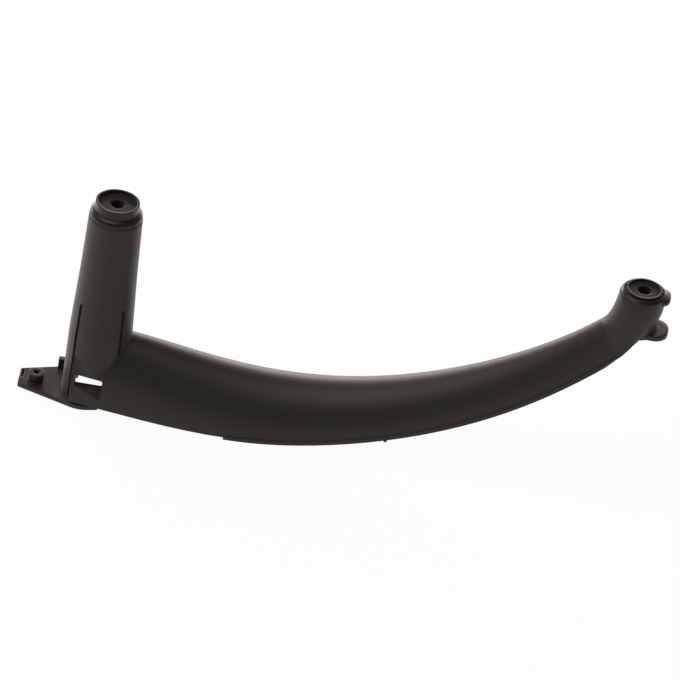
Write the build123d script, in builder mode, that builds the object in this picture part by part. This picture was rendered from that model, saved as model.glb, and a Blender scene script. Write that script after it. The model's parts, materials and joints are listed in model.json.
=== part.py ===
from build123d import *
import os

# Carrier of an inner door pull handle, moulded in one piece. Millimetres.
# The origin is the middle of the tall post's end, which seats on the door.
# Both posts point along +Z to the door, and the bar runs along +X between them.
# Depths are measured down from the door.

# Fixing to the door: one screw through the end of each post
post_spacing = 240.0
screw_hole_diameter = 6.6

# Tall post: a spigot with a raised rim, a bare shoulder and a swelling body, hollow from below
foot_depth = 103.3
spigot_radius = 10.0
spigot_length = 4.3
spigot_rim = 1.0
spigot_recess = 1.6
shoulder_round = 2.0
shoulder_facets = 3
bare_depth = 8.0
coat_step = 0.25
waist_depth = 38.0
waist_radius = 13.1
hip_depth = 70.0
hip_radius = 14.5
foot_radius = 14.8
tall_end_wall = 4.4
tall_well_radius = 8.6
tall_well_foot_radius = 11.9
tall_well_bevel = 2.0

# Grooves down the tall post that guide a cover
groove_count = 4
groove_width = 1.7
groove_cut = 1.1
groove_top_depth = 52.0

# Latch windows through the front and back walls of the tall post's foot, with a pocket between.
# Their sill falls outwards, hardly at its left end and steeply at its right.
window_left = -8.1
window_right = 4.6
window_left_top_depth = 87.9
window_right_top_depth = 88.7
window_sill_depth = 93.3
window_left_fall = 0.1
window_right_fall = 1.2
window_round = 0.9

# Foot plate behind the tall post, with a screw boss, a locating tab and an end recess
plate_thickness = 2.0
plate_reach = 34.6
plate_end_width = 12.0
plate_shoulder = 5.0
plate_width = 33.8
plate_front = 4.0
plate_front_width = 29.0
plate_round = 1.2
plate_shoulder_round = 12.0
boss_reach = 26.8
boss_side = -1.0
boss_diameter = 7.3
boss_height = 4.1
boss_hole_diameter = 3.2
tab_reach = 16.6
tab_side = 11.3
tab_length = 3.0
tab_width = 2.6
tab_height = 5.6
recess_inset = 0.8
recess_side = 2.4
recess_length = 1.2
recess_width = 6.0
recess_cut = 1.2

# Bar: half an oval in section, led by its rim, its crown and its half width.
# Each of the three curves has a start, a low point, a middle and an end.
# Runs along the bar are counted along the door, and a gap from the bar's end.
wall = 2.8
arch_fullness = 0.56
channel_overcut = 2.0
channel_facets = 6
bar_start = -10.0
rim_start_depth = 102.6
rim_start_slope = -0.01
rim_low_x = 70.0
rim_low_depth = 105.6
rim_mid_x = 152.0
rim_mid_depth = 87.2
rim_end_overhang = 6.0
rim_end_depth = 20.0
rim_end_slope = 1.1
crown_start_depth = 69.8
crown_start_slope = -0.02
crown_low_x = 84.0
crown_low_depth = 79.9
crown_mid_x = 147.0
crown_mid_depth = 68.2
crown_end_setback = 6.0
crown_end_depth = 11.6
crown_end_slope = 0.9
start_half_width = 15.2
low_half_width = 19.2
mid_half_width = 15.3
end_half_width = 9.6
section_count = 6
channel_section_count = 10

# Lip along the rim, which fades out before the bar's end, and a gate nib under it
lip_start_run = 65.0
lip_end_gap = 22.5
lip_fade_run = 7.5
lip_section_count = 6
lip_height = 1.9
lip_drop = 0.6
lip_proud = 0.5
lip_root = 1.2
nib_run = 131.25
nib_diameter = 1.4
nib_length = 1.3

# Ribs across the channel and a web under its crown
rib_thickness = 1.8
rib_count = 7
rib_first_run = 40.0
rib_last_gap = 40.0
rib_recess = 5.0
web_height = 9.0

# Short post: a pad with a raised rim, a collar and a body that the bar's end turns up into
pad_radius = 8.2
pad_rim = 0.9
pad_recess = 1.0
pad_height = 0.9
pad_gap = 0.6
pad_gap_cut = 0.8
collar_radius = 10.5
collar_bevel = 1.0
collar_depth = 5.6
body_run = 13.75
body_depth = 13.5
body_setback = 1.7
body_radius = 10.8
body_top_setback = 0.7
body_top_radius = 10.2
short_end_wall = 4.0
short_well_radius = 6.8
heel_radius = 8.8

# Two flat tabs on the short post's outer side that hold a cover
ear_reach = 12.3
ear_width = 12.0
ear_round = 4.5
ear_depth = 2.2
ear_thickness = 2.0
toe_reach = 14.2
toe_width = 15.0
toe_round = 6.5
toe_depth = 20.0
toe_thickness = 2.4

# Values worked out from the sizes above
screw_hole_radius = screw_hole_diameter / 2
bare_radius = spigot_radius + shoulder_round
neck_radius = bare_radius + coat_step
tall_well_depth = spigot_recess + tall_end_wall
short_well_depth = pad_recess + short_end_wall
plate_bottom_depth = foot_depth + plate_thickness
window_wall = low_half_width - tall_well_foot_radius
bar_length = post_spacing - bar_start
lip_start = lip_start_run / bar_length
lip_end = 1 - lip_end_gap / bar_length
lip_fade = lip_fade_run / bar_length
nib_share = nib_run / bar_length
rib_first = rib_first_run / bar_length
rib_last = 1 - rib_last_gap / bar_length
body_start = 1 - body_run / bar_length
post_axis = Axis((post_spacing, 0, 0), (0, 0, 1))
short_profile = Plane(origin=(post_spacing, 0, 0), x_dir=(1, 0, 0), z_dir=(0, -1, 0))

with BuildLine(Plane.XZ):
    rim_curve = Spline(
        (bar_start, -rim_start_depth),
        (rim_low_x, -rim_low_depth),
        (rim_mid_x, -rim_mid_depth),
        (post_spacing + rim_end_overhang, -rim_end_depth),
        tangents=((1, rim_start_slope), (1, rim_end_slope)),
    )
with BuildLine(Plane.XZ):
    crown_curve = Spline(
        (bar_start, -crown_start_depth),
        (crown_low_x, -crown_low_depth),
        (crown_mid_x, -crown_mid_depth),
        (post_spacing - crown_end_setback, -crown_end_depth),
        tangents=((1, crown_start_slope), (1, crown_end_slope)),
    )
with BuildLine():
    width_curve = Spline(
        (bar_start, start_half_width),
        (rim_low_x, low_half_width),
        (rim_mid_x, mid_half_width),
        (post_spacing, end_half_width),
    )


def shares(first, last, count):
    """Evenly spaced shares of the bar's length."""
    return [first + (last - first) * step / (count - 1) for step in range(count)]


def across(share):
    """Plane across the bar: x along +Y from the rim's middle, y up to the crown."""
    rim = rim_curve @ share
    side = Vector(0, 1, 0)
    up = (crown_curve @ share - rim).normalized()
    return Plane(origin=rim, x_dir=side, z_dir=side.cross(up))


def half_width(share):
    """Half the bar's width at its rim."""
    return (width_curve @ share).Y


def height(share):
    """The bar's height from its rim to its crown."""
    return (crown_curve @ share - rim_curve @ share).length


def arch(share, inset, base):
    """Half an oval across the bar, inset from its outer section, on a base line."""
    side = half_width(share) - inset
    top = height(share) - inset
    side_pull = base + (top - base) * arch_fullness
    top_pull = side * arch_fullness
    with BuildSketch(across(share)) as section:
        with BuildLine():
            right = Bezier((side, base), (side, side_pull), (top_pull, top), (0, top))
            left = Bezier((0, top), (-top_pull, top), (-side, side_pull), (-side, base))
            Line(left @ 1, right @ 0)
        make_face()
    return section.sketch


def ring(setback, depth, radius):
    """A round section of the short post's body, split where the bar's sections are."""
    plane = Plane(origin=(post_spacing - setback, 0, -depth), x_dir=(0, 1, 0))
    with BuildSketch(plane) as section:
        with BuildLine():
            right = RadiusArc((radius, 0), (0, radius), -radius)
            left = RadiusArc(right @ 1, (-radius, 0), -radius)
            ThreePointArc(left @ 1, (0, -radius), right @ 0)
        make_face()
    return section.sketch


def channel_section(share):
    """The channel's section: flats inside the arch, one wall in, open past the rim."""
    with BuildLine(mode=Mode.PRIVATE):
        roof = EllipticalCenterArc(
            (0, -channel_overcut),
            half_width(share) - wall,
            height(share) - wall + channel_overcut,
            arc_size=180,
        )
    with BuildSketch(across(share)) as section:
        with BuildLine():
            Polyline(*[roof @ step for step in shares(0, 1, channel_facets + 1)], close=True)
        make_face()
    return section.sketch


def web_section(share):
    """The web's section, hung from the middle of the crown's wall."""
    with BuildSketch(across(share)) as section:
        with Locations((0, height(share) - wall / 2)):
            Rectangle(rib_thickness, web_height, align=(Align.CENTER, Align.MAX))
    return section.sketch


def lip_section(share, side, size):
    """Section of the lip on one side of the bar, where side is 1 or -1; at size 0 it is flush."""
    root = side * (half_width(share) - lip_root)
    edge = side * (half_width(share) + lip_proud * size)
    bottom = -lip_drop * size
    with BuildSketch(across(share)) as section:
        with BuildLine():
            Polyline(
                (root, bottom),
                (edge, bottom),
                (edge, lip_height - lip_drop),
                (root, lip_height - lip_drop),
                close=True,
            )
        make_face()
    return section.sketch


def window_section(side, out):
    """Outline of a latch window on one side of the post, some way out from the pocket."""
    plane = Plane.XZ.offset(-side * (tall_well_foot_radius + out))
    with BuildSketch(plane) as section:
        with BuildLine():
            Polyline(
                (window_left, -window_left_top_depth),
                (window_right, -window_right_top_depth),
                (window_right, -window_sill_depth - window_right_fall * out),
                (window_left, -window_sill_depth - window_left_fall * out),
                close=True,
            )
        make_face()
        fillet(section.vertices(), window_round)
    return section.sketch


with BuildPart() as bar:
    # A lofted arch, hollowed from below to one wall thickness
    loft(sections=[arch(share, 0, 0) for share in shares(0, body_start, section_count)])
    channel_shares = shares(0, body_start, channel_section_count)
    channel = [channel_section(share) for share in channel_shares]
    loft(sections=channel, ruled=True, mode=Mode.SUBTRACT)
    loft(sections=[web_section(share) for share in channel_shares], ruled=True)

    # Cross ribs, seated half a wall deep in the channel's sides
    for share in shares(rib_first, rib_last, rib_count):
        extrude(arch(share, wall / 2, rib_recess), amount=rib_thickness / 2, both=True)

    # Lip along both sides of the rim, fading out before the short post
    lip_shares = shares(lip_start, lip_end, lip_section_count)
    for side in (1, -1):
        loft(sections=[lip_section(share, side, 1) for share in lip_shares])
        fade = [lip_section(lip_end, side, 1), lip_section(lip_end + lip_fade, side, 0)]
        loft(sections=fade, ruled=True)

    # Gate nib under the front rim
    with BuildSketch(across(nib_share).offset(-nib_diameter / 2)):
        with Locations((-half_width(nib_share), -nib_length / 2)):
            Rectangle(nib_diameter, nib_length)
    extrude(amount=nib_diameter)

with BuildPart() as tall_post:
    # Solid of revolution from the recess in its end to the foot
    with BuildLine(mode=Mode.PRIVATE):
        rounding = RadiusArc(
            (spigot_radius, -spigot_length),
            (bare_radius, -spigot_length - shoulder_round),
            shoulder_round,
        )
    with BuildSketch(Plane.XZ):
        with BuildLine():
            end = Polyline(
                (0, -spigot_recess),
                (spigot_radius - spigot_rim, -spigot_recess),
                (spigot_radius - spigot_rim, 0),
                (spigot_radius, 0),
                (spigot_radius, -spigot_length),
            )
            shoulder = Polyline(*[rounding @ step for step in shares(0, 1, shoulder_facets + 1)])
            step = Polyline(
                shoulder @ 1, (bare_radius, -bare_depth), (neck_radius, -bare_depth)
            )
            Polyline(
                step @ 1,
                (waist_radius, -waist_depth),
                (hip_radius, -hip_depth),
                (foot_radius, -foot_depth),
                (0, -foot_depth),
                end @ 0,
            )
        make_face()
    revolve(axis=Axis.Z)

    # Cover grooves, whose floors lean with the body from their tops to the foot
    top_share = (groove_top_depth - waist_depth) / (hip_depth - waist_depth)
    top_radius = waist_radius + (hip_radius - waist_radius) * top_share
    for index in range(groove_count):
        turn = (index + 0.5) * 360 / groove_count
        with BuildSketch(Plane.XZ.rotated((0, 0, turn))):
            with BuildLine():
                Polyline(
                    (top_radius - groove_cut, -groove_top_depth),
                    (top_radius + foot_radius, -groove_top_depth),
                    (foot_radius + foot_radius, -foot_depth),
                    (foot_radius - groove_cut, -foot_depth),
                    close=True,
                )
            make_face()
        extrude(amount=groove_width / 2, both=True, mode=Mode.SUBTRACT)

with BuildPart() as foot_plate:
    with BuildSketch(Plane.XY.offset(-plate_bottom_depth)) as outline:
        with BuildLine():
            Polyline(
                (-plate_reach, -plate_end_width / 2),
                (-plate_shoulder, -plate_width / 2),
                (plate_front, -plate_front_width / 2),
                (plate_front, plate_front_width / 2),
                (-plate_shoulder, plate_width / 2),
                (-plate_reach, plate_end_width / 2),
                close=True,
            )
        make_face()
        shoulders = outline.vertices().sort_by(Axis.Y)
        fillet((shoulders[0], shoulders[-1]), plate_shoulder_round)
        ends = outline.vertices().group_by(Axis.X)
        fillet(ends[0] + ends[-1], plate_round)
    extrude(amount=plate_thickness)

    # Recess along the plate's end
    with BuildSketch(Plane.XY.offset(-foot_depth)):
        with Locations((recess_inset + recess_length / 2 - plate_reach, recess_side)):
            Rectangle(recess_length, recess_width)
    extrude(amount=-recess_cut, mode=Mode.SUBTRACT)

    # Screw boss and locating tab stand on the plate
    with BuildSketch(Plane.XY.offset(-foot_depth)):
        with Locations((-boss_reach, boss_side)):
            Circle(boss_diameter / 2)
    extrude(amount=boss_height)
    with BuildSketch(Plane.XY.offset(-foot_depth)):
        with Locations((-tab_reach, tab_side)):
            Rectangle(tab_length, tab_width)
    extrude(amount=tab_height)
    with Locations((-boss_reach, boss_side, boss_height - foot_depth)):
        Hole(boss_hole_diameter / 2)

with BuildPart() as short_post:
    # Pad, gap and collar turned about the second screw
    with BuildSketch(short_profile):
        with BuildLine():
            Polyline(
                (0, -pad_recess),
                (pad_radius - pad_rim, -pad_recess),
                (pad_radius - pad_rim, 0),
                (pad_radius, 0),
                (pad_radius, -pad_height - pad_gap_cut),
                (pad_radius + pad_gap, -pad_height - pad_gap_cut),
                (pad_radius + pad_gap, -pad_height),
                (collar_radius - collar_bevel, -pad_height),
                (collar_radius, -pad_height - collar_bevel),
                (collar_radius, -collar_depth),
                (0, -collar_depth),
                close=True,
            )
        make_face()
    revolve(axis=post_axis)

    # Body that carries the bar's last section on and turns it up into the collar
    loft(
        sections=[
            arch(body_start, 0, 0),
            ring(body_setback, body_depth, body_radius),
            ring(body_top_setback, collar_depth / 2, body_top_radius),
        ]
    )

    # Heel: a boss inside the body that comes out of it above the toe
    with BuildSketch(Plane.XY.offset(-collar_depth)):
        with Locations((post_spacing, 0)):
            Circle(heel_radius)
    extrude(amount=collar_depth - toe_depth - toe_thickness)

    # Ear at the collar and toe at the foot
    for reach, width, corner_round, depth, thickness in (
        (ear_reach, ear_width, ear_round, ear_depth, ear_thickness),
        (toe_reach, toe_width, toe_round, toe_depth, toe_thickness),
    ):
        with BuildSketch(Plane.XY.offset(-depth)) as tab:
            with Locations((post_spacing + reach / 2, 0)):
                Rectangle(reach, width)
            fillet(tab.vertices().group_by(Axis.X)[-1], corner_round)
        extrude(amount=-thickness)

with BuildPart() as handle_carrier:
    add(bar.part)
    add(tall_post.part)
    add(foot_plate.part)
    add(short_post.part)

    # Tall well, wider towards the foot, with a bevelled roof under the end wall
    with BuildSketch(Plane.XZ):
        with BuildLine():
            Polyline(
                (0, -tall_well_depth),
                (tall_well_radius - tall_well_bevel, -tall_well_depth),
                (tall_well_radius, -tall_well_depth - tall_well_bevel),
                (tall_well_foot_radius, -plate_bottom_depth),
                (0, -plate_bottom_depth),
                close=True,
            )
        make_face()
    revolve(axis=Axis.Z, mode=Mode.SUBTRACT)

    # Short well and the two screw holes
    with BuildSketch(Plane.XY.offset(-short_well_depth)):
        with Locations((post_spacing, 0)):
            Circle(short_well_radius)
    extrude(amount=-foot_depth, mode=Mode.SUBTRACT)
    with Locations((0, 0, 0), (post_spacing, 0, 0)):
        Hole(screw_hole_radius, depth=tall_well_depth + tall_well_bevel)

    # Pocket behind the latch windows, open below, and the windows
    with BuildSketch(Plane.XY.offset(-window_left_top_depth)):
        with Locations(((window_left + window_right) / 2, 0)):
            Rectangle(window_right - window_left, 2 * tall_well_foot_radius)
    extrude(amount=-foot_depth, mode=Mode.SUBTRACT)
    for side in (1, -1):
        window = [window_section(side, out) for out in (0, window_wall)]
        loft(sections=window, ruled=True, mode=Mode.SUBTRACT)

handle_carrier.part.label = "handle_carrier"
os.makedirs("parts", exist_ok=True)
export_step(handle_carrier.part, "parts/handle_carrier.step")
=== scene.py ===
import json
import math

import bpy
from bpy.props import FloatProperty, FloatVectorProperty, PointerProperty
from mathutils import Matrix, Vector


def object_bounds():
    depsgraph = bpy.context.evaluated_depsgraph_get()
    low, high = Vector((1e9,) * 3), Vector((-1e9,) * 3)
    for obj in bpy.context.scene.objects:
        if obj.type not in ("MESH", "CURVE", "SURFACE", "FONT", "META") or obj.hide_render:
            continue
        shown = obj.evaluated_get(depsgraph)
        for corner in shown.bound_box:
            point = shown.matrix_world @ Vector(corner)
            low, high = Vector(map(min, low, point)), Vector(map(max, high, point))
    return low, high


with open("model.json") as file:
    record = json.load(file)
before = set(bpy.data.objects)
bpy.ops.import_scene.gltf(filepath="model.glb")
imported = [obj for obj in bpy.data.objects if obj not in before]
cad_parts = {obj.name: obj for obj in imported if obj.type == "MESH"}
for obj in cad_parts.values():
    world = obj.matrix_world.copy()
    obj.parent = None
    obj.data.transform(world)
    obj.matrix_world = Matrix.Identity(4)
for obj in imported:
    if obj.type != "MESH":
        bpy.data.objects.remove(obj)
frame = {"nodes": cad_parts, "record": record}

bl_info = {
    "name": "Inner door pull handle",
    "version": (1, 0, 0),
    "blender": (4, 5, 0),
    "location": "View3D > Sidebar > Door handle",
    "description": "Dresses the moulded carrier of a door pull handle and lights it in a white studio",
    "category": "Object",
}

MM = 0.001
WHITE = (1, 1, 1)
CAD_LOW, CAD_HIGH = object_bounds()
CARRIER = frame["nodes"]["handle_carrier"]
SHORT_POST_X = next(
    mount["pos_m"][0] for mount in frame["record"]["mounts"] if mount["name"] == "short_post_end"
)


def linear(colour):
    """Linear RGB from an sRGB hex value."""
    channels = [int(colour[i:i + 2], 16) / 255 for i in (0, 2, 4)]
    return [c / 12.92 if c <= 0.04045 else ((c + 0.055) / 1.055) ** 2.4 for c in channels]


def add_node(tree, kind, inputs=None, **settings):
    """Adds a node and gives each named or numbered input a value or a link."""
    node = tree.nodes.new(kind)
    for name, value in settings.items():
        setattr(node, name, value)
    for name, value in (inputs or {}).items():
        if isinstance(value, bpy.types.NodeSocket):
            tree.links.new(value, node.inputs[name])
        else:
            node.inputs[name].default_value = value
    return node


class CarrierLook(bpy.types.PropertyGroup):
    """Finish of the moulding."""

    coat_colour: FloatVectorProperty(
        name="Coat colour", description="Colour of the matte soft coat",
        default=linear("2c2b28"), size=3, min=0, max=1, subtype="COLOR",
    )
    bare_colour: FloatVectorProperty(
        name="Bare colour", description="Colour of the uncoated post ends and foot plate",
        default=linear("161513"), size=3, min=0, max=1, subtype="COLOR",
    )
    gloss_tint: FloatVectorProperty(
        name="Gloss tint", description="Warm tone that the finish lends to what it reflects",
        default=linear("ffeee6"), size=3, min=0, max=1, subtype="COLOR",
    )
    thin_coat_roughness: FloatProperty(
        name="Roughness, thin coat", description="Roughness where the spray is thinnest",
        default=0.42, min=0, max=1, subtype="FACTOR",
    )
    thick_coat_roughness: FloatProperty(
        name="Roughness, thick coat", description="Roughness where the spray is thickest",
        default=0.5, min=0, max=1, subtype="FACTOR",
    )
    bare_roughness: FloatProperty(
        name="Roughness, bare", description="Roughness of the uncoated moulding",
        default=0.3, min=0, max=1, subtype="FACTOR",
    )
    gloss_level: FloatProperty(
        name="Gloss level", description="Strength of reflections, where 0.5 is plain plastic",
        default=0.31, min=0, max=1, subtype="FACTOR",
    )
    sheen_weight: FloatProperty(
        name="Sheen", description="Strength of the soft glow on surfaces seen at a slant",
        default=0.22, min=0, max=1, subtype="FACTOR",
    )
    sheen_roughness: FloatProperty(
        name="Sheen roughness", description="Spread of the soft glow",
        default=0.5, min=0, max=1, subtype="FACTOR",
    )
    tall_bare_depth: FloatProperty(
        name="Bare end, tall post", description="How far down from its end the tall post has no coat",
        default=8 * MM, min=0, unit="LENGTH",
    )
    short_bare_depth: FloatProperty(
        name="Bare end, short post", description="How far down from its end the short post has no coat",
        default=5.6 * MM, min=0, unit="LENGTH",
    )
    plate_bare_start: FloatProperty(
        name="Bare foot plate", description="How far from the tall post's axis the coat starts to fade",
        default=15 * MM, min=0, unit="LENGTH",
    )
    plate_fade_width: FloatProperty(
        name="Foot plate fade", description="Width over which the coat fades out on the foot plate",
        default=4 * MM, min=0.1 * MM, unit="LENGTH",
    )
    cloud_width: FloatProperty(
        name="Cloud width", description="Width of one cloud of thicker or thinner spray",
        default=25 * MM, min=1 * MM, unit="LENGTH",
    )
    cloud_contrast: FloatProperty(
        name="Cloud contrast", description="How much lighter or darker a cloud makes the colour",
        default=0.15, min=0, max=1, subtype="FACTOR",
    )
    grain_width: FloatProperty(
        name="Grain width", description="Width of one grain of the coat",
        default=0.7 * MM, min=0.05 * MM, unit="LENGTH",
    )
    grain_height: FloatProperty(
        name="Grain height", description="Height of the coat's grain",
        default=0.05 * MM, min=0, unit="LENGTH",
    )
    grain_strength: FloatProperty(
        name="Grain strength", description="How strongly the grain shows",
        default=0.25, min=0, max=1, subtype="FACTOR",
    )
    edge_radius: FloatProperty(
        name="Edge radius", description="Small rounding that the mould leaves along every edge",
        default=0.5 * MM, min=0, unit="LENGTH",
    )
    tab_edge_radius: FloatProperty(
        name="Edge radius, tabs", description="Larger rounding along the two tabs beyond the short post",
        default=2.2 * MM, min=0, unit="LENGTH",
    )
    tab_start: FloatProperty(
        name="Tab start", description="How far beyond the short post's axis the tabs' rounding starts",
        default=8 * MM, min=0, unit="LENGTH",
    )
    tab_blend: FloatProperty(
        name="Tab blend", description="Distance over which the rounding grows to that of the tabs",
        default=2 * MM, min=0.1 * MM, unit="LENGTH",
    )
    crease_angle: FloatProperty(
        name="Crease angle", description="Edges that turn more than this stay sharp",
        default=math.radians(30), min=0, max=math.pi, subtype="ANGLE",
    )
    weld_distance: FloatProperty(
        name="Weld distance", description="Points of neighbouring faces closer than this are joined",
        default=0.002 * MM, min=0, precision=6, unit="LENGTH",
    )


class StudioLook(bpy.types.PropertyGroup):
    """Camera, floor and lights."""

    view_elevation: FloatProperty(
        name="View elevation", description="How far above the horizon the camera stands",
        default=math.radians(34.3), subtype="ANGLE",
    )
    view_roll: FloatProperty(
        name="View roll", description="Turn of the camera about its own line of sight",
        default=math.radians(9.4), subtype="ANGLE",
    )
    view_distance: FloatProperty(
        name="View distance", description="From the camera to the middle of the handle",
        default=2.3, min=0.5, unit="LENGTH",
    )
    view_width: FloatProperty(
        name="View width", description="Width that the picture takes in at the handle",
        default=309.4 * MM, min=10 * MM, unit="LENGTH",
    )
    view_offset: FloatVectorProperty(
        name="View offset", description="From the middle of the handle to the picture's centre",
        default=(-1.2 * MM, -2.2 * MM, 0), size=3, subtype="TRANSLATION",
    )
    floor_colour: FloatVectorProperty(
        name="Floor colour", description="Colour of the paper floor",
        default=linear("f4f4f3"), size=3, min=0, max=1, subtype="COLOR",
    )
    floor_glow: FloatProperty(
        name="Floor glow", description="Share of plain white in the floor that the camera sees",
        default=0.95, min=0, max=1, subtype="FACTOR",
    )
    floor_width: FloatProperty(
        name="Floor width", description="Side of the square floor", default=12, min=1, unit="LENGTH",
    )
    world_level: FloatProperty(
        name="World level", description="Light from all round, where 1 lights white to white",
        default=0.15, min=0, max=1, subtype="FACTOR",
    )
    softbox_spot: FloatVectorProperty(
        name="Softbox spot", description="From the middle of the handle to the light overhead",
        default=(-0.5, -0.15, 1.2), size=3, subtype="TRANSLATION",
    )
    softbox_width: FloatProperty(
        name="Softbox width", description="Side of the square light overhead",
        default=1.2, min=0.1, unit="LENGTH",
    )
    softbox_power: FloatProperty(
        name="Softbox power", description="Power of the light overhead",
        default=10, min=0, unit="POWER",
    )
    strip_spot: FloatVectorProperty(
        name="Strip spot", description="From the middle of the handle to the low light behind",
        default=(-0.4, 1.7, 0.3), size=3, subtype="TRANSLATION",
    )
    strip_width: FloatProperty(
        name="Strip width", description="Width of the low light behind",
        default=4, min=0.1, unit="LENGTH",
    )
    strip_height: FloatProperty(
        name="Strip height", description="Height of the low light behind",
        default=0.65, min=0.1, unit="LENGTH",
    )
    strip_power: FloatProperty(
        name="Strip power", description="Power of the low light behind",
        default=48, min=0, unit="POWER",
    )
    strip_colour: FloatVectorProperty(
        name="Strip colour", description="Warm white of the low light behind",
        default=linear("fff8f3"), size=3, min=0, max=1, subtype="COLOR",
    )


def soft_coated_nylon(look):
    """Glass-filled nylon, injection moulded and sprayed with a matte soft coat, bare in places."""
    # The coat gives a warm near-black with a broad, weak sheen
    # The bare post ends and foot plate are darker and smoother
    material = bpy.data.materials.new("soft_coated_nylon")
    material.use_nodes = True
    tree = material.node_tree
    place = add_node(tree, "ShaderNodeTexCoord").outputs["Object"]
    axes = add_node(tree, "ShaderNodeSeparateXYZ", {"Vector": place})

    # Coat ends at one depth on each post
    near_short = add_node(
        tree, "ShaderNodeMath", {0: axes.outputs["X"], 1: SHORT_POST_X / 2}, operation="GREATER_THAN"
    )
    coat_top = add_node(
        tree, "ShaderNodeMapRange",
        {"Value": near_short.outputs[0], "To Min": -look.tall_bare_depth, "To Max": -look.short_bare_depth},
    )
    bare_end = add_node(
        tree, "ShaderNodeMath", {0: axes.outputs["Z"], 1: coat_top.outputs[0]}, operation="GREATER_THAN"
    )
    # Spray fades out where the foot plate leaves the tall post
    plate_bare_end = look.plate_bare_start + look.plate_fade_width
    bare_plate = add_node(
        tree, "ShaderNodeMapRange",
        {"Value": axes.outputs["X"], "From Min": -look.plate_bare_start, "From Max": -plate_bare_end},
    )
    bare = add_node(
        tree, "ShaderNodeMath", {0: bare_end.outputs[0], 1: bare_plate.outputs[0]}, operation="MAXIMUM"
    ).outputs[0]

    # Clouds of thicker and thinner spray
    cloud = add_node(
        tree, "ShaderNodeTexNoise",
        {"Vector": place, "Scale": 1 / look.cloud_width, "Detail": 2, "Roughness": 0.5},
    ).outputs["Fac"]
    # The real grain is about 0.2 mm wide and is drawn wider so that it shows
    grain = add_node(
        tree, "ShaderNodeTexNoise",
        {"Vector": place, "Scale": 1 / look.grain_width, "Detail": 2, "Roughness": 0.6},
    ).outputs["Fac"]

    finish = add_node(
        tree, "ShaderNodeMix",
        {"Factor": bare, "A": (*look.coat_colour, 1), "B": (*look.bare_colour, 1)}, data_type="RGBA",
    )
    shade = add_node(
        tree, "ShaderNodeMapRange",
        {"Value": cloud, "To Min": 1 - look.cloud_contrast, "To Max": 1 + look.cloud_contrast},
    )
    colour = add_node(
        tree, "ShaderNodeVectorMath", {0: finish.outputs[2], "Scale": shade.outputs[0]}, operation="SCALE"
    )
    coat_rough = add_node(
        tree, "ShaderNodeMapRange",
        {"Value": cloud, "To Min": look.thin_coat_roughness, "To Max": look.thick_coat_roughness},
    )
    rough = add_node(
        tree, "ShaderNodeMix", {"Factor": bare, "A": coat_rough.outputs[0], "B": look.bare_roughness}
    )
    # Rounded edges catch a fine line of light, and the tabs beyond the short post are rounder
    tab_start = SHORT_POST_X + look.tab_start
    radius = add_node(
        tree, "ShaderNodeMapRange",
        {
            "Value": axes.outputs["X"], "From Min": tab_start, "From Max": tab_start + look.tab_blend,
            "To Min": look.edge_radius, "To Max": look.tab_edge_radius,
        },
    )
    edges = add_node(tree, "ShaderNodeBevel", {"Radius": radius.outputs[0]}, samples=6).outputs[0]
    relief = add_node(
        tree, "ShaderNodeBump",
        {"Height": grain, "Strength": look.grain_strength, "Distance": look.grain_height, "Normal": edges},
    )
    shader = tree.nodes["Principled BSDF"]
    shader.inputs["IOR"].default_value = 1.5
    shader.inputs["Specular IOR Level"].default_value = look.gloss_level
    shader.inputs["Specular Tint"].default_value = (*look.gloss_tint, 1)
    shader.inputs["Sheen Weight"].default_value = look.sheen_weight
    shader.inputs["Sheen Roughness"].default_value = look.sheen_roughness
    shader.inputs["Sheen Tint"].default_value = (*look.gloss_tint, 1)
    tree.links.new(colour.outputs[0], shader.inputs["Base Color"])
    tree.links.new(rough.outputs[0], shader.inputs["Roughness"])
    tree.links.new(relief.outputs[0], shader.inputs["Normal"])
    return material


def creased_shading(look):
    """Nodes that weld the moulding's faces and shade it smooth between creases."""
    tree = bpy.data.node_groups.new("creased_shading", "GeometryNodeTree")
    tree.interface.new_socket("Geometry", in_out="INPUT", socket_type="NodeSocketGeometry")
    tree.interface.new_socket("Geometry", in_out="OUTPUT", socket_type="NodeSocketGeometry")
    moulding = add_node(tree, "NodeGroupInput").outputs[0]
    welded = add_node(
        tree, "GeometryNodeMergeByDistance", {"Geometry": moulding, "Distance": look.weld_distance}
    ).outputs[0]
    angle = add_node(tree, "GeometryNodeInputMeshEdgeAngle").outputs["Unsigned Angle"]
    crease = add_node(
        tree, "ShaderNodeMath", {0: angle, 1: look.crease_angle}, operation="GREATER_THAN"
    ).outputs[0]
    shaded = add_node(
        tree, "GeometryNodeSetMeshNormal",
        {"Mesh": welded, "Remove Custom": True, "Edge Sharpness": crease, "Face Sharpness": False},
        mode="SHARPNESS",
    ).outputs[0]
    add_node(tree, "NodeGroupOutput", {0: shaded})
    return tree


class DressCarrier(bpy.types.Operator):
    """Shades the moulded carrier smooth and gives it its soft-coated finish"""

    bl_idname = "door_handle.dress_carrier"
    bl_label = "Dress carrier"

    def execute(self, context):
        look = context.scene.carrier_look
        shading = CARRIER.modifiers.new("creased_shading", "NODES")
        shading.node_group = creased_shading(look)
        if not CARRIER.material_slots:
            raise RuntimeError("The carrier has no material slot to dress")
        finish = soft_coated_nylon(look)
        for slot in CARRIER.material_slots:
            slot.link = "OBJECT"
            slot.material = finish
        return {"FINISHED"}


def background_share(tree):
    """1 for rays that should see the background as white, and 0 for rays that gather light."""
    path = add_node(tree, "ShaderNodeLightPath")
    seen = add_node(
        tree, "ShaderNodeMath", {0: path.outputs["Is Camera Ray"], 1: path.outputs["Is Glossy Ray"]},
        operation="ADD",
    )
    return add_node(
        tree, "ShaderNodeMath", {0: seen.outputs[0], 1: path.outputs["Is Transmission Ray"]},
        operation="ADD", use_clamp=True,
    ).outputs[0]


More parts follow.
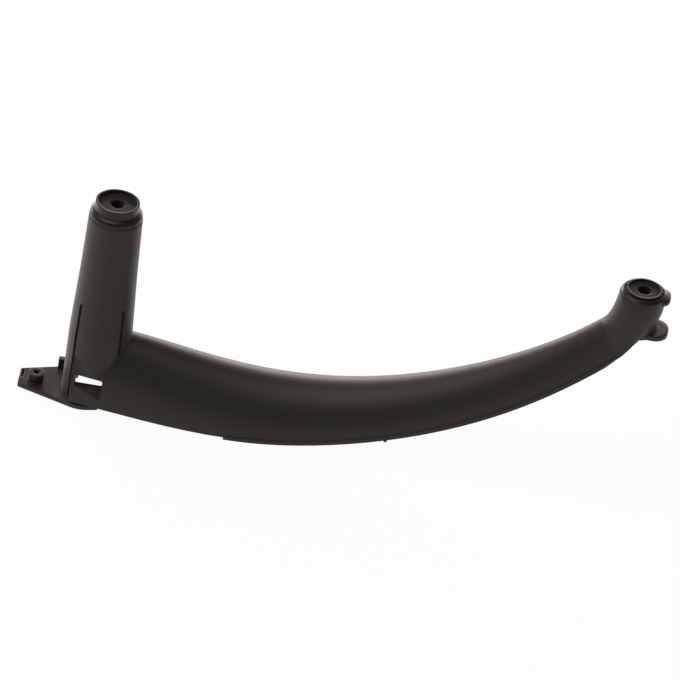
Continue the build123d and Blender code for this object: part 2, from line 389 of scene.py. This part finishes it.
def white_paper(look):
    """Matte white paper: its own glow keeps it white to the eye, and it still shows a faint shadow."""
    material = bpy.data.materials.new("white_paper")
    material.use_nodes = True
    tree = material.node_tree
    sheet = tree.nodes["Principled BSDF"]
    sheet.inputs["Base Color"].default_value = (*look.floor_colour, 1)
    sheet.inputs["Roughness"].default_value = 1
    sheet.inputs["Specular IOR Level"].default_value = 0
    glow = add_node(tree, "ShaderNodeEmission", {"Color": (*WHITE, 1), "Strength": 1})
    share = add_node(
        tree, "ShaderNodeMath", {0: background_share(tree), 1: look.floor_glow}, operation="MULTIPLY"
    )
    both = add_node(
        tree, "ShaderNodeMixShader", {0: share.outputs[0], 1: sheet.outputs[0], 2: glow.outputs[0]}
    )
    tree.links.new(both.outputs[0], tree.nodes["Material Output"].inputs["Surface"])
    return material


class SetStage(bpy.types.Operator):
    """Adds the paper floor, the dim white room, the light above, the strip behind and the camera"""

    bl_idname = "door_handle.set_stage"
    bl_label = "Set stage"

    def execute(self, context):
        look = context.scene.studio_look
        middle = (CAD_LOW + CAD_HIGH) / 2
        self.lay_floor(context, look, middle)
        self.light(context, look, middle)
        self.place_camera(context, look, middle)
        context.scene.view_settings.view_transform = "Standard"
        return {"FINISHED"}

    def lay_floor(self, context, look, middle):
        half = look.floor_width / 2
        corners = [(-half, -half, 0), (half, -half, 0), (half, half, 0), (-half, half, 0)]
        mesh = bpy.data.meshes.new("paper_floor")
        mesh.from_pydata(corners, [], [(0, 1, 2, 3)])
        mesh.materials.append(white_paper(look))
        floor = bpy.data.objects.new("paper_floor", mesh)
        floor.location = (middle.x, middle.y, CAD_LOW.z)
        context.scene.collection.objects.link(floor)

    def light(self, context, look, middle):
        world = bpy.data.worlds.new("white_room")
        world.use_nodes = True
        room = world.node_tree.nodes["Background"]
        room.inputs["Color"].default_value = (*WHITE, 1)
        room.inputs["Strength"].default_value = look.world_level
        context.scene.world = world

        softbox_size = (look.softbox_width, look.softbox_width)
        strip_size = (look.strip_width, look.strip_height)
        for name, spot, (width, height), power, colour in (
            ("overhead_softbox", look.softbox_spot, softbox_size, look.softbox_power, WHITE),
            ("back_strip", look.strip_spot, strip_size, look.strip_power, look.strip_colour),
        ):
            light = bpy.data.lights.new(name, "AREA")
            light.shape = "RECTANGLE"
            light.size = width
            light.size_y = height
            light.energy = power
            light.color = colour
            lamp = bpy.data.objects.new(name, light)
            lamp.location = middle + Vector(spot)
            lamp.rotation_euler = Vector(spot).to_track_quat("Z", "Y").to_euler()
            context.scene.collection.objects.link(lamp)

    def place_camera(self, context, look, middle):
        elevation, roll = look.view_elevation, look.view_roll
        level_right = Vector((1, 0, 0))
        level_up = Vector((0, math.sin(elevation), math.cos(elevation)))
        back = Vector((0, -math.cos(elevation), math.sin(elevation)))
        right = math.cos(roll) * level_right + math.sin(roll) * level_up
        up = math.cos(roll) * level_up - math.sin(roll) * level_right
        lens = bpy.data.cameras.new("camera")
        lens.lens = lens.sensor_width * look.view_distance / look.view_width
        camera = bpy.data.objects.new("camera", lens)
        turn = Matrix((right, up, back)).transposed().to_4x4()
        spot = middle + Vector(look.view_offset) + look.view_distance * back
        camera.matrix_world = Matrix.Translation(spot) @ turn
        context.scene.collection.objects.link(camera)
        context.scene.camera = camera


class HandlePanel(bpy.types.Panel):
    """Lists the handle's steps with their sizes and colours"""

    bl_idname = "VIEW3D_PT_door_handle"
    bl_label = "Door handle"
    bl_space_type = "VIEW_3D"
    bl_region_type = "UI"
    bl_category = "Door handle"

    def draw(self, context):
        scene = context.scene
        for step, look in ((DressCarrier, scene.carrier_look), (SetStage, scene.studio_look)):
            self.layout.operator(step.bl_idname)
            for name in look.__annotations__:
                self.layout.prop(look, name)


CLASSES = (CarrierLook, StudioLook, DressCarrier, SetStage, HandlePanel)


def register():
    for kind in CLASSES:
        bpy.utils.register_class(kind)
    bpy.types.Scene.carrier_look = PointerProperty(type=CarrierLook)
    bpy.types.Scene.studio_look = PointerProperty(type=StudioLook)


def unregister():
    del bpy.types.Scene.studio_look
    del bpy.types.Scene.carrier_look
    for kind in reversed(CLASSES):
        bpy.utils.unregister_class(kind)


def main():
    register()
    bpy.ops.door_handle.dress_carrier()
    bpy.ops.door_handle.set_stage()


if __name__ == "__main__":
    main()
